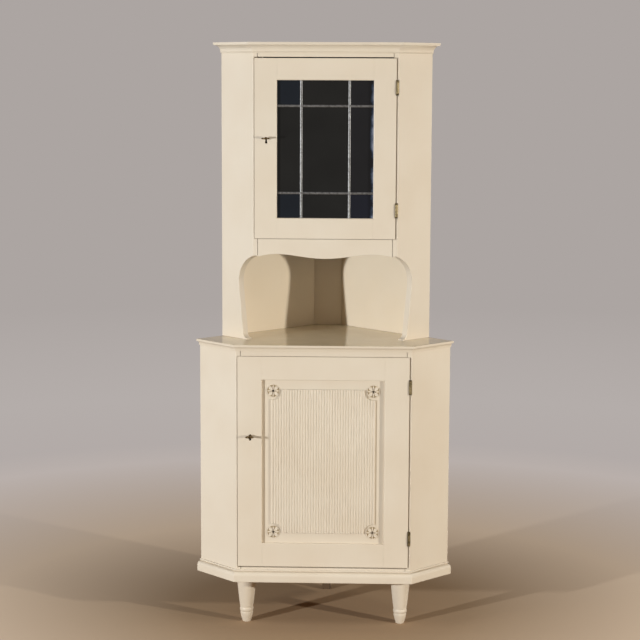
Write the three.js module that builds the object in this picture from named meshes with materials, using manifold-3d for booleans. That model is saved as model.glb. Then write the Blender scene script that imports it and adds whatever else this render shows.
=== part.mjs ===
// A painted corner cupboard in two parts: a glazed upper cupboard on scalloped feet, over an open niche,
// standing on a lower cupboard with a reeded door. Millimetres, +Z up, +X right, the front faces -Y.
import * as THREE from 'three';
import { mergeVertices } from 'three/addons/utils/BufferGeometryUtils.js';
import Module from 'manifold-3d';

const wasm = await Module();
wasm.setup();

// Plan. Both cupboards share two wall planes, |x| + y = wallReach from the lower front plane.
const wallReach = 539;
const rearHalfWidth = 52;
const lowerHalfFront = 283;
const upperHalfFront = 233;
const upperSetback = 85.5;

// Boards and fits
const returnThickness = 22;
const backThickness = 12;
const shelfThickness = 18;
const railDepth = 22;
const railGap = 1.2;
const doorThickness = 24;
const seat = 0.3;
const overrun = 2;

// Lower cupboard
const legHeight = 155;
const lowerCarcassHeight = 762;
const lowerBottomRailHeight = 46.5;
const lowerTopRailHeight = 16.2;
const lowerShelfHeight = 330;
const countertopThickness = 21;
const countertopOverhang = 15.5;
const countertopNoseShare = 0.34;
const countertopLipShare = 0.1;
const countertopRoundShare = 0.06;
const plinthHeight = 40;
const plinthProjection = 16.5;
const plinthShares = { bead: 0.07, beadFace: 0.36, shoulder: 0.32, round: 0.06, quirk: 0.05 };

// Upper cupboard
const upperHeight = 962;
const nicheHeight = 332.8;
const upperTopRailHeight = 46.4;
const upperShelfHeight = 290;
const corniceHeight = 34;
const corniceProjection = 35.5;
const corniceShares = { bead: 0.06, fillet: 0.18, step: 0.07 };
const apronDepth = 63.3;
const scallopDepth = 70.5;
const scallopHeight = 278;

// Half of the apron's wave, from its end to the middle: shares of half the opening and of the apron's depth
const apronWaveShares = [
  [1, 0.905], [0.92, 0.822], [0.84, 0.766], [0.733, 0.766], [0.484, 0.766], [0.279, 1], [0, 1],
];

// A foot's scalloped edge, from the front down to the toe: shares of the scallop's depth and height
const scallopEdgeShares = [
  [0, 1], [0.43, 0.964], [1, 0.87], [1, 0.69], [1, 0.547], [0.781, 0.26], [0.716, 0.086],
  [0.702, 0.045], [0.63, 0.02], [0.468, 0.014],
];

// Doors: gaps round them, frame widths, what fills them
const lockGap = 4.5;
const lockLand = 3.3;
const hingeGap = 6;
const lowerDoorFootGap = 3.7;
const lowerDoorHeadGap = 1.5;
const upperDoorFootGap = 1.2;
const upperDoorHeadGap = 3.6;
const lowerStileWidth = 79.5;
const lowerDoorTopRail = 76.4;
const lowerDoorBottomRail = 78;
const upperStileWidth = 72.7;
const upperDoorTopRail = 70;
const upperDoorBottomRail = 67;
const panelArris = 2;
const glassArris = 4;

// Reeded panel
const panelSunk = 13;
const panelThickness = 7;
const grooveDepth = 8;
const panelPlay = 0.8;
const fieldSideMargin = 26;
const fieldEndMargin = 31.4;
const reedCount = 39;
const reedHeight = 2.6;
const reedFootShare = 0.15;
const notchRadius = 28.5;
const rosetteInset = 36.5;
const rosetteRadius = 21;
const rosetteHeight = 4.6;
const rosetteOutlineShares = [
  [1, 0.175], [0.95, 0.35], [0.86, 0.35], [0.8, 0.21], [0.2, 0.21], [0.12, 0.07], [0, 0.07],
];
const petalStationShares = [
  [0.14, 0.05, 0.5], [0.3, 0.24, 0.85], [0.52, 0.36, 1], [0.74, 0.26, 0.85], [0.93, 0.05, 0.5],
];
const petalFloorShare = 0.105;
const petalShoulderShare = 0.28;

// Leaded light
const glassLip = 10;
const rebateDepth = 8;
const cameThickness = 5.6;
const glassThickness = 2.6;
const cameHeart = 1.6;
const uprightCameWidth = 9;
const levelCameWidth = 7;
const uprightCameOffset = 77.5;
const topRowHeight = 82;
const bottomRowHeight = 80;

// Lift-off hinges
const hingeHeight = 49;
const knuckleRadius = 4.9;
const knuckleProud = 0.4;
const pinRadius = 2;
const pinRiseShare = 0.3;
const leafThickness = 1.4;
const leafWidth = 19;
const lowerHingeInset = 72.5;
const upperHingeInset = 68;

// Rim locks and keys
const lockWidth = 36;
const lockHeight = 62;
const lockDepth = 12;
const lockPlate = 1.6;
const lockStileDepth = 18;
const doorStopGap = 1;
const stopOverlap = 3;
const lockClearance = 1.2;
const boltThrow = 10;
const boltLength = 29.5;
const boltHeight = 8;
const boltThickness = 5;
const boltLift = 5;
const notchWidth = 13;
const notchDepth = 4.6;
const boltPlay = 0.3;
const upperKeyInset = 38;
const upperKeyHeight = 323;
const lowerKeyInset = 41.5;
const lowerKeyHeight = 435;
const keyholeRadius = 3.8;
const keyholeWaist = 4.4;
const keyholeFoot = 8;
const keyholeDrop = 16.5;
const keyShankRadius = 3.1;
const keyCollarRadius = 4.6;
const keyNeckRadius = 2.5;
const keyStandOff = 40;
const keyBowWidth = 27;
const keyBowLength = 22;
const keyBowWire = 1.9;
const keyBitReach = 9;
const keyBitWidth = 7.6;
const keyBitThickness = 2.4;

// Legs
const legInset = 29;
const legSetback = 17;
const legTopRadius = 32.8;
const legBlock = 58;
const rearLegTop = 40;
const rearLegFoot = 28;
const legSides = 36;

// A turned leg's outline from the floor to the top of its bead: shares of its top radius and of its height
const legOutlineShares = [
  [0.33, 0], [0.375, 0.012], [0.45, 0.045], [0.54, 0.105], [0.605, 0.16], [0.635, 0.2],
  [0.6, 0.212], [0.6, 0.226], [0.655, 0.234], [0.682, 0.256], [0.682, 0.284], [0.655, 0.306], [0.636, 0.318],
];

// Levels
const counterUnderside = legHeight + lowerCarcassHeight;
const counterTop = counterUnderside + countertopThickness;
const upperTop = counterTop + upperHeight;
const lowerFloor = legHeight + lowerBottomRailHeight;
const upperFloor = counterTop + nicheHeight;
const rearPlane = wallReach - rearHalfWidth;
const diagonal = Math.SQRT2;
const frontMitre = Math.tan(Math.PI / 8);

// Finishes
function finish(color, roughness, metalness = 0) {
  return new THREE.MeshStandardMaterial({ color, roughness, metalness });
}

const creamPaint = () => finish(0xded2bb, 0.55);
const rawPine = () => finish(0x9a7750, 0.75);
const darkGlass = () => finish(0x20242c, 0.08);
const greyLead = () => finish(0x8f8c86, 0.45, 0.7);
const agedBronze = () => finish(0x5a4a35, 0.45, 0.8);
const blackIron = () => finish(0x3b3128, 0.55, 0.7);

const cupboard = new THREE.Group();

function piece(name, geometry, material, parent = cupboard) {
  const mesh = new THREE.Mesh(geometry, material);
  mesh.name = name;
  parent.add(mesh);
  return mesh;
}

// Solids: cutting and joining closed geometries
function solid(geometry) {
  const bare = geometry.clone();
  bare.deleteAttribute('normal');
  bare.deleteAttribute('uv');
  const merged = mergeVertices(bare);
  const vertProperties = new Float32Array(merged.attributes.position.array);
  const triVerts = new Uint32Array(merged.index.array);
  return new wasm.Manifold(new wasm.Mesh({ numProp: 3, vertProperties, triVerts }));
}

function geometryOf(body) {
  const mesh = body.getMesh();
  const geometry = new THREE.BufferGeometry();
  geometry.setAttribute('position', new THREE.BufferAttribute(mesh.vertProperties, 3));
  geometry.setIndex(new THREE.BufferAttribute(mesh.triVerts, 1));
  return geometry;
}

function join(first, ...others) {
  return geometryOf(others.reduce((sum, next) => sum.add(solid(next)), solid(first)));
}

function cut(first, ...others) {
  return geometryOf(others.reduce((rest, next) => rest.subtract(solid(next)), solid(first)));
}

function common(first, second) {
  return geometryOf(solid(first).intersect(solid(second)));
}

// Outlines and prisms
const at = (x, y) => new THREE.Vector2(x, y);
const mirrored = (points) => points.map((point) => at(-point.x, point.y));
const sided = (points, side) => (side > 0 ? points : mirrored(points));

// Draws every side of an outline inwards, so that neighbours keep a seat between them
function inset(points, distance) {
  const turn = Math.sign(THREE.ShapeUtils.area(points));
  const last = points.length - 1;
  return points.map((point, i) => {
    const arriving = point.clone().sub(points[i === 0 ? last : i - 1]).normalize();
    const leaving = points[i === last ? 0 : i + 1].clone().sub(point).normalize();
    const reach = (turn * distance) / (1 + arriving.dot(leaving));
    return at(point.x - reach * (arriving.y + leaving.y), point.y + reach * (arriving.x + leaving.x));
  });
}

function extrude(outline, depth, curveSegments) {
  const shape = outline instanceof THREE.Shape ? outline : new THREE.Shape(outline);
  return new THREE.ExtrudeGeometry(shape, { depth, bevelEnabled: false, curveSegments });
}

// A plan outline raised from one level to another
const upright = (plan, bottom, top) => extrude(plan, top - bottom).translate(0, 0, bottom);

// A front elevation outline, in x and z, carried back from one depth to another
function frontal(elevation, front, back, curveSegments) {
  return extrude(elevation, back - front, curveSegments).rotateX(Math.PI / 2).translate(0, back, 0);
}

function block(x0, x1, y0, y1, z0, z1) {
  const geometry = new THREE.BoxGeometry(x1 - x0, y1 - y0, z1 - z0);
  return geometry.translate((x0 + x1) / 2, (y0 + y1) / 2, (z0 + z1) / 2);
}

// Points on an elliptical arc, with angles in quarter turns
function arc(centre, radii, from, to, steps) {
  return Array.from({ length: steps + 1 }, (_, i) => {
    const angle = ((from + ((to - from) * i) / steps) * Math.PI) / 2;
    return at(centre.x + radii.x * Math.cos(angle), centre.y + radii.y * Math.sin(angle));
  });
}

// A cupboard's plan: its front, and where its canted returns end on the walls
function planOf(halfFront, front) {
  const run = (wallReach - halfFront - front) / 2;
  return { halfFront, front, run, halfWidth: halfFront + run, sideY: front + run };
}

const lowerPlan = planOf(lowerHalfFront, 0);
const upperPlan = planOf(upperHalfFront, upperSetback);

// Half width between the inner faces of the returns, and between the inner faces of the backs, at a depth
const betweenReturns = (plan, y) => plan.halfFront - returnThickness * diagonal + y - plan.front;
const betweenBacks = (y) => wallReach - backThickness * diagonal - y;
const endStrip = returnThickness / diagonal;
const squareEnd = (returnThickness - seat) / diagonal;
const rearInner = rearPlane - backThickness;

function carcassInterior(plan, front) {
  const cornerY = (betweenBacks(0) - betweenReturns(plan, 0)) / 2;
  const right = [
    at(betweenReturns(plan, front), front),
    at(betweenReturns(plan, cornerY), cornerY),
    at(betweenBacks(rearInner), rearInner),
  ];
  return inset([...right, ...mirrored(right).reverse()], seat / 2);
}

// Stands an outline, drawn in run and height, along a canted return's outer face, and joins its front lands.
// The hinge side has sockets for the knuckles.
function cantedBoard(outline, door, side, lands) {
  const { plan } = door;
  const geometry = extrude(outline, returnThickness - seat, 16).rotateX(Math.PI / 2);
  const heading = side > 0 ? Math.PI / 4 : (3 * Math.PI) / 4;
  geometry.rotateZ(heading);
  const inward = side > 0 ? squareEnd : 0;
  geometry.translate(side * (plan.halfFront - inward), plan.front + inward, 0);
  const board = join(geometry, ...lands.map(([width, low, high]) => landOf(plan, side, width, low, high)));
  return side > 0 ? cut(board, ...knuckleSockets(door)) : board;
}

// Fills out the front of a return's square end, flush with the front of the cupboard
function landOf(plan, side, width, bottom, top) {
  const corner = at(plan.halfFront, plan.front);
  const inner = at(corner.x - width, corner.y + width);
  const outline = [
    corner,
    at(corner.x + overrun, corner.y + overrun),
    at(inner.x + overrun, inner.y + overrun),
    inner,
    at(inner.x, corner.y),
  ];
  return upright(sided(outline, side), bottom, top);
}

// A return fills the corner beside a rail, and narrows to a slip where the lock side of a door shuts
function landsBeside(side, bottom, footTop, headBottom, top) {
  const railLand = squareEnd - railGap;
  const lands = [[railLand, bottom, footTop], [railLand, headBottom, top]];
  return side < 0 ? [...lands, [lockLand, footTop - overrun, headBottom + overrun]] : lands;
}

// A back board runs behind the end of the return, from there to the rear board
function backBoard(plan, side, bottom, top) {
  const chamfer = backThickness / diagonal;
  const start = at(plan.halfWidth - endStrip, plan.sideY + endStrip);
  const outline = [
    start,
    at(rearHalfWidth, rearPlane),
    at(betweenBacks(rearInner), rearInner),
    at(start.x - chamfer, start.y - chamfer),
  ];
  return upright(inset(sided(outline, side), seat / 2), bottom, top);
}

function rearBoard(bottom, top) {
  const outer = at(rearHalfWidth, rearPlane);
  const inner = at(betweenBacks(rearInner), rearInner);
  const outline = [outer, inner, ...mirrored([inner, outer])];
  return upright(inset(outline, seat / 2), bottom, top);
}

// A rail between the returns: flush in front, and cut along their inner faces behind
function railPlan(plan) {
  const right = [
    at(plan.halfFront - endStrip, plan.front),
    at(plan.halfFront - endStrip, plan.front + endStrip),
    at(betweenReturns(plan, plan.front + railDepth), plan.front + railDepth),
  ];
  const outline = inset([...right, ...mirrored(right).reverse()], seat / 2);
  return outline.map((point) => at(point.x, point.y - seat / 2));
}

// Mouldings. A profile is drawn as projection from the carcass and height, and mitred round the front.
function mouldingStations(plan, projection) {
  const canted = projection / diagonal;
  return [
    at(-plan.halfWidth - canted, plan.sideY - canted),
    at(-plan.halfFront - projection * frontMitre, plan.front - projection),
    at(plan.halfFront + projection * frontMitre, plan.front - projection),
    at(plan.halfWidth + canted, plan.sideY - canted),
  ];
}

function meshOf(rows, faces) {
  const geometry = new THREE.BufferGeometry();
  geometry.setAttribute('position', new THREE.Float32BufferAttribute(rows.flat(), 3));
  geometry.setIndex(faces.flat());
  return geometry;
}

// A closed profile, drawn clockwise from its inner foot, run along the front and both returns
function moulding(profile, plan) {
  const stations = profile.map((point) => mouldingStations(plan, point.x).map((p) => [p.x, p.y, point.y]));
  const runs = stations[0].length;
  const index = (row, run) => (row % profile.length) * runs + run;
  const faces = [];
  for (let row = 0; row < profile.length; row += 1) {
    for (let run = 0; run + 1 < runs; run += 1) {
      faces.push([index(row, run), index(row + 1, run), index(row + 1, run + 1)]);
      faces.push([index(row, run), index(row + 1, run + 1), index(row, run + 1)]);
    }
  }
  for (const [a, b, c] of THREE.ShapeUtils.triangulateShape(profile, [])) {
    faces.push([index(a, 0), index(b, 0), index(c, 0)]);
    faces.push([index(a, runs - 1), index(c, runs - 1), index(b, runs - 1)]);
  }
  return meshOf(stations.flat(), faces);
}

// A slab whose front and canted edges follow a profile from top to bottom, and whose back edges stay plain
function mouldedSlab(profile, plan) {
  const rings = profile.map((point) => [
    ...mouldingStations(plan, point.x),
    at(rearHalfWidth, rearPlane),
    at(-rearHalfWidth, rearPlane),
  ].map((p) => [p.x, p.y, point.y]));
  const sides = rings[0].length;
  const faces = [];
  for (let ring = 0; ring + 1 < rings.length; ring += 1) {
    for (let side = 0; side < sides; side += 1) {
      const next = (side + 1) % sides;
      const [a, b] = [ring * sides + side, ring * sides + next];
      faces.push([a, a + sides, b + sides], [a, b + sides, b]);
    }
  }
  const under = (rings.length - 1) * sides;
  for (let side = 1; side + 1 < sides; side += 1) {
    faces.push([0, side, side + 1], [under, under + side + 1, under + side]);
  }
  return meshOf(rings.flat(), faces);
}

// A square nose with an eased arris, over a hollow
function countertopProfile() {
  const nose = at(countertopOverhang, counterTop - countertopThickness * countertopNoseShare);
  const lip = countertopThickness * countertopLipShare;
  const round = countertopThickness * countertopRoundShare;
  const arris = arc(at(nose.x - round, counterTop - round), at(round, round), 1, 0, 3);
  const coveCentre = at(nose.x - lip, counterUnderside + lip);
  const coveRadii = at(coveCentre.x - lip * 2, nose.y - coveCentre.y);
  const cove = arc(coveCentre, coveRadii, 1, 2, 6);
  return [...arris, nose, ...cove, at(lip * 2, counterUnderside)];
}

function plinthProfile() {
  const top = legHeight + plinthHeight;
  const bead = plinthHeight * plinthShares.bead;
  const beadFace = plinthProjection * plinthShares.beadFace;
  const shoulder = plinthHeight * plinthShares.shoulder;
  const round = plinthHeight * plinthShares.round;
  const quirk = plinthHeight * plinthShares.quirk;
  const ovoloRadii = at(plinthProjection - beadFace, shoulder);
  const ovoloTop = top - bead * 2 - quirk;
  return [
    at(seat, legHeight),
    at(seat, top),
    at(beadFace - bead, top),
    ...arc(at(beadFace - bead, top - bead), at(bead, bead), 1, -1, 6),
    at(seat + quirk / 2, ovoloTop + quirk / 2),
    ...arc(at(beadFace, ovoloTop - shoulder), ovoloRadii, 1, 0, 6),
    ...arc(at(plinthProjection - round, legHeight + round), at(round, round), 0, -1, 3),
  ];
}

function corniceProfile() {
  const foot = upperTop - corniceHeight;
  const bead = corniceHeight * corniceShares.bead;
  const fillet = corniceHeight * corniceShares.fillet;
  const step = corniceProjection * corniceShares.step;
  const coveRadii = at(corniceProjection - step * 2 - bead * 2, corniceHeight - fillet - bead * 2 - step);
  const coveCentre = at(corniceProjection - step * 2, foot + bead * 2);
  return [
    at(seat, foot),
    at(seat, upperTop),
    at(corniceProjection, upperTop),
    at(corniceProjection, upperTop - fillet),
    at(corniceProjection - step, upperTop - fillet),
    at(corniceProjection - step, upperTop - fillet - step),
    ...arc(coveCentre, coveRadii, 1, 2, 8),
    ...arc(at(bead, foot + bead), at(bead, bead), 1, -1, 6),
  ];
}

// Lower cupboard
function lowerCarcass() {
  const top = counterUnderside - seat;
  const length = lowerPlan.run * diagonal;
  const board = [at(0, legHeight), at(length, legHeight), at(length, top), at(0, top)];
  for (const [word, side] of [['left', -1], ['right', 1]]) {
    const lands = landsBeside(side, legHeight, lowerFloor, top - lowerTopRailHeight, top);
    piece(`lower_return_${word}`, cantedBoard(board, lowerDoor, side, lands), creamPaint());
    piece(`lower_back_${word}`, backBoard(lowerPlan, side, legHeight, top), rawPine());
  }
  piece('lower_rear_board', rearBoard(legHeight, top), rawPine());
  const floorPlan = carcassInterior(lowerPlan, railDepth);
  piece('lower_bottom_board', upright(floorPlan, lowerFloor - shelfThickness, lowerFloor), rawPine());
  const shelfBottom = lowerFloor + lowerShelfHeight;
  const shelfPlan = carcassInterior(lowerPlan, shelfFront(lowerPlan));
  piece('lower_shelf', upright(shelfPlan, shelfBottom, shelfBottom + shelfThickness), rawPine());
  piece('lower_bottom_rail', upright(railPlan(lowerPlan), legHeight, lowerFloor), creamPaint());
  piece('lower_top_rail', upright(railPlan(lowerPlan), top - lowerTopRailHeight, top), creamPaint());
  piece('plinth_moulding', moulding(plinthProfile(), lowerPlan), creamPaint());
  piece('countertop', mouldedSlab(countertopProfile(), lowerPlan), creamPaint());
}

// The shelves stop short of the lock stile and the lock
function shelfFront(plan) {
  return plan.front + doorThickness + doorStopGap + lockStileDepth + seat;
}

function turnedLeg(centreX) {
  const outline = legOutlineShares.map(([r, z]) => at(r * legTopRadius, z * legHeight));
  const top = legHeight - seat;
  const half = [at(0, 0), ...outline, at(legTopRadius, top), at(0, top)];
  const turned = new THREE.LatheGeometry(half, legSides).rotateX(Math.PI / 2);
  const stub = block(-legBlock / 2, legBlock / 2, -legBlock / 2, legBlock / 2,
    top - overrun, lowerFloor - shelfThickness - seat);
  return join(turned, stub).translate(centreX, railDepth + legSetback + legBlock / 2, 0);
}

function squareLeg() {
  const top = legHeight - seat;
  const taper = new THREE.CylinderGeometry(rearLegTop / diagonal, rearLegFoot / diagonal, top, 4);
  taper.rotateY(Math.PI / 4).rotateX(Math.PI / 2).translate(0, 0, top / 2);
  const stub = block(-rearLegTop / 2, rearLegTop / 2, -rearLegTop / 2, rearLegTop / 2,
    top - overrun, lowerFloor - shelfThickness - seat);
  return join(taper, stub).translate(0, rearInner - rearLegTop / 2 - seat, 0);
}

function legs() {
  const legCentre = lowerHalfFront - legInset;
  piece('front_leg_left', turnedLeg(-legCentre), creamPaint());
  piece('front_leg_right', turnedLeg(legCentre), creamPaint());
  piece('rear_leg', squareLeg(), creamPaint());
}

// Carries an outline on through curves, each with two control points and an end
function curveThrough(outline, points) {
  for (let i = 1; i < points.length; i += 3) {
    const [first, second, end] = points.slice(i);
    outline.bezierCurveTo(first.x, first.y, second.x, second.y, end.x, end.y);
  }
}

// Upper cupboard
function scallopedOutline() {
  const run = upperPlan.run * diagonal;
  const bottom = counterTop + seat;
  const edge = scallopEdgeShares.map(([depth, height]) => (
    at(scallopDepth * depth, counterTop + scallopHeight * height)
  ));
  const outline = new THREE.Shape();
  outline.moveTo(0, upperTop);
  outline.lineTo(edge[0].x, edge[0].y);
  curveThrough(outline, edge);
  outline.lineTo(outline.currentPoint.x, bottom);
  outline.lineTo(run, bottom);
  outline.lineTo(run, upperTop);
  return outline;
}

function apron() {
  const half = upperPlan.halfFront;
  const reach = half - endStrip;
  const left = apronWaveShares.map(([across, depth]) => (
    at(-reach * across, upperFloor - apronDepth * depth)
  ));
  const right = mirrored(left).reverse();
  const wave = new THREE.Shape();
  wave.moveTo(-half, upperFloor);
  wave.lineTo(-half, left[0].y);
  wave.lineTo(left[0].x, left[0].y);
  curveThrough(wave, [...left, ...right.slice(1)]);
  wave.lineTo(half, left[0].y);
  wave.lineTo(half, upperFloor);
  const rail = upright(railPlan(upperPlan), upperFloor - apronDepth - overrun, upperFloor);
  const front = upperPlan.front - overrun;
  return common(rail, frontal(wave, front, front + railDepth + overrun * 2, 14));
}

function upperCarcass() {
  const bottom = counterTop + seat;
  const apronEnd = counterTop + scallopHeight;
  for (const [word, side] of [['left', -1], ['right', 1]]) {
    const lands = landsBeside(side, apronEnd, upperFloor, upperTop - upperTopRailHeight, upperTop);
    const board = cantedBoard(scallopedOutline(), upperDoor, side, lands);
    piece(`upper_return_${word}`, board, creamPaint());
    piece(`upper_back_${word}`, backBoard(upperPlan, side, bottom, upperTop), creamPaint());
  }
  piece('upper_rear_board', rearBoard(bottom, upperTop), creamPaint());
  const floorPlan = carcassInterior(upperPlan, upperPlan.front + railDepth);
  piece('upper_bottom_board', upright(floorPlan, upperFloor - shelfThickness, upperFloor), creamPaint());
  piece('upper_top_board', upright(floorPlan, upperTop - shelfThickness, upperTop), rawPine());
  const shelfBottom = upperFloor + upperShelfHeight;
  const shelfPlan = carcassInterior(upperPlan, shelfFront(upperPlan));
  piece('upper_shelf', upright(shelfPlan, shelfBottom, shelfBottom + shelfThickness), creamPaint());
  const topRail = upright(railPlan(upperPlan), upperTop - upperTopRailHeight, upperTop);
  piece('upper_top_rail', topRail, creamPaint());
  piece('apron', apron(), creamPaint());
  piece('cornice', moulding(corniceProfile(), upperPlan), creamPaint());
}

// Doors. Their side edges are bevelled to lie along the square ends of the canted returns.
function doorOf(plan, levels, stileWidth, bottomRail, topRail, hingeInset) {
  const left = -(plan.halfFront - lockGap);
  const right = plan.halfFront - hingeGap;
  const { bottom, top } = levels;
  return {
    plan, bottom, top, left, right,
    front: plan.front,
    back: plan.front + doorThickness,
    middle: (left + right) / 2,
    opening: {
      left: left + stileWidth,
      right: right - stileWidth,
      bottom: bottom + bottomRail,
      top: top - topRail,
    },
    hinges: [bottom + hingeInset, top - hingeInset - hingeHeight],
  };
}

const lowerDoorLevels = {
  bottom: lowerFloor + lowerDoorFootGap,
  top: counterUnderside - lowerTopRailHeight - lowerDoorHeadGap,
};
const upperDoorLevels = {
  bottom: upperFloor + upperDoorFootGap,
  top: upperTop - upperTopRailHeight - upperDoorHeadGap,
};
const lowerDoor = doorOf(lowerPlan, lowerDoorLevels, lowerStileWidth, lowerDoorBottomRail, lowerDoorTopRail,
  lowerHingeInset);
const upperDoor = doorOf(upperPlan, upperDoorLevels, upperStileWidth, upperDoorBottomRail, upperDoorTopRail,
  upperHingeInset);

// What takes the rounded edge off the frame round an opening, mitred at its corners
function arrisCutter(door, radius) {
  const { left, right, bottom, top } = door.opening;
  const profile = [
    at(-overrun, -overrun),
    at(radius, -overrun),
    ...arc(at(radius, radius), at(radius, radius), 3, 2, 5),
    at(-overrun, radius),
  ];
  const corners = [[left, bottom, -1, -1], [right, bottom, 1, -1], [right, top, 1, 1], [left, top, -1, 1]];
  const rows = corners.map(([x, z, sx, sz]) => (
    profile.map((p) => [x + sx * p.x, door.front + p.y, z + sz * p.x])
  ));
  const count = profile.length;
  const faces = [];
  for (let corner = 0; corner < corners.length; corner += 1) {
    for (let i = 0; i < count; i += 1) {
      const next = (i + 1) % count;
      const here = corner * count;
      const there = ((corner + 1) % corners.length) * count;
      faces.push([here + i, there + next, there + i], [here + i, here + next, there + next]);
    }
  }
  return meshOf(rows.flat(), faces);
}

// The channel that holds a door's filling, as a groove or as a rebate open at the back, between two levels
function channelBlock(door, channel, bottom, top) {
  const { left, right } = door.opening;
  return block(left - channel.depth, right + channel.depth, channel.front, channel.back, bottom, top);
}

function doorStile(door, side, channel, cutters) {
  const outerX = side > 0 ? door.right : -door.left;
  const innerX = side > 0 ? door.opening.right : -door.opening.left;
  const outline = [
    at(innerX, door.front),
    at(outerX, door.front),
    at(outerX - doorThickness, door.back),
    at(innerX, door.back),
  ];
  const groove = channelBlock(door, channel, door.bottom - overrun, door.top + overrun);
  return cut(upright(sided(outline, side), door.bottom, door.top), groove, ...cutters);
}

// A rail fits between the stiles, with stub tenons in their channels
function doorRail(door, bottom, top, channel, cutters) {
  const { left, right } = door.opening;
  const tenon = channel.depth - seat;
  const front = channel.front + seat;
  const back = Math.min(channel.back - seat, door.back);
  const body = block(left + seat, right - seat, door.front, door.back, bottom, top);
  const tenons = block(left - tenon, right + tenon, front, back, bottom, top);
  const reach = channel.depth;
  const groove = channelBlock(door, channel, door.opening.bottom - reach, door.opening.top + reach);
  return cut(join(body, tenons), groove, ...cutters);
}

function doorFrame(prefix, door, channel, arrisRadius, keyhole, parent) {
  const arris = arrisCutter(door, arrisRadius);
  const { bottom, top } = door.opening;
  const boards = {
    lock_stile: doorStile(door, -1, channel, [arris, keyhole]),
    hinge_stile: doorStile(door, 1, channel, [arris, ...knuckleSockets(door)]),
    bottom_rail: doorRail(door, door.bottom, bottom, channel, [arris]),
    top_rail: doorRail(door, top, door.top, channel, [arris]),
  };
  for (const [word, geometry] of Object.entries(boards)) {
    piece(`${prefix}_door_${word}`, geometry, creamPaint(), parent);
  }
}

// Leaded light: nine panes let into one soldered grid of lead cames
function leadedLight(door, channel, parent) {
  const { left, right, bottom, top } = door.opening;
  const border = channel.depth - panelPlay;
  const half = border / 2;
  const front = channel.front + seat;
  const back = front + cameThickness;
  const { middle } = door;
  const columns = [left - half, middle - uprightCameOffset, middle + uprightCameOffset, right + half];
  const rows = [bottom - half, bottom + bottomRowHeight, top - topRowHeight, top + half];
  const glassFront = (front + back - glassThickness) / 2;
  const ends = {
    left: columns[0] - half,
    right: columns.at(-1) + half,
    bottom: rows[0] - half,
    top: rows.at(-1) + half,
  };
  const bars = columns.map((x, i) => {
    const width = i === 0 || i === columns.length - 1 ? border : uprightCameWidth;
    return block(x - width / 2, x + width / 2, front, back, ends.bottom, ends.top);
  });
  rows.forEach((z, i) => {
    const width = i === 0 || i === rows.length - 1 ? border : levelCameWidth;
    bars.push(block(ends.left, ends.right, front, back, z - width / 2, z + width / 2));
  });
  const panes = [];
  const slots = [];
  for (let row = 0; row + 1 < rows.length; row += 1) {
    for (let column = 0; column + 1 < columns.length; column += 1) {
      const glass = (play) => block(
        columns[column] + cameHeart - play, columns[column + 1] - cameHeart + play,
        glassFront - play, glassFront + glassThickness + play,
        rows[row] + cameHeart - play, rows[row + 1] - cameHeart + play,
      );
      panes.push([`pane_row_${rows.length - 1 - row}_column_${column + 1}`, glass(0)]);
      slots.push(glass(seat));
    }
  }
  for (const [name, geometry] of panes) {
    piece(name, geometry, darkGlass(), parent);
  }
  piece('lead_cames', cut(join(...bars), ...slots), greyLead(), parent);
}

// Reeded panel with a rosette in each concave corner of its raised field
function rosetteGeometry() {
  const foot = -overrun / 2;
  const outline = rosetteOutlineShares.map(([r, height]) => at(rosetteRadius * r, rosetteHeight * height));
  const half = [at(0, foot), at(rosetteRadius, foot), ...outline];
  const disc = new THREE.LatheGeometry(half, 32).rotateX(Math.PI / 2);
  const petals = Array.from({ length: 4 }, (_, i) => petalGeometry().rotateZ((i * Math.PI) / 2));
  return join(disc, ...petals);
}

// A leaf that swells to a ridge along its middle and narrows to both ends
function petalGeometry() {
  const floor = rosetteHeight * petalFloorShare;
  const shoulder = rosetteHeight * petalShoulderShare;
  const rows = petalStationShares.flatMap(([reach, width, height]) => {
    const x = rosetteRadius * reach;
    const side = (rosetteRadius * width) / 2;
    const ridge = rosetteHeight * height;
    return [[x, -side, floor], [x, side, floor], [x, side, shoulder], [x, 0, ridge], [x, -side, shoulder]];
  });
  const count = 5;
  const faces = [[0, 2, 1], [0, 3, 2], [0, 4, 3]];
  const end = (petalStationShares.length - 1) * count;
  faces.push([end, end + 1, end + 2], [end, end + 2, end + 3], [end, end + 3, end + 4]);
  for (let station = 0; station + 1 < petalStationShares.length; station += 1) {
    for (let i = 0; i < count; i += 1) {
      const here = station * count + i;
      const next = station * count + ((i + 1) % count);
      faces.push([here, next, next + count], [here, next + count, here + count]);
    }
  }
  return meshOf(rows, faces);
}

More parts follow.
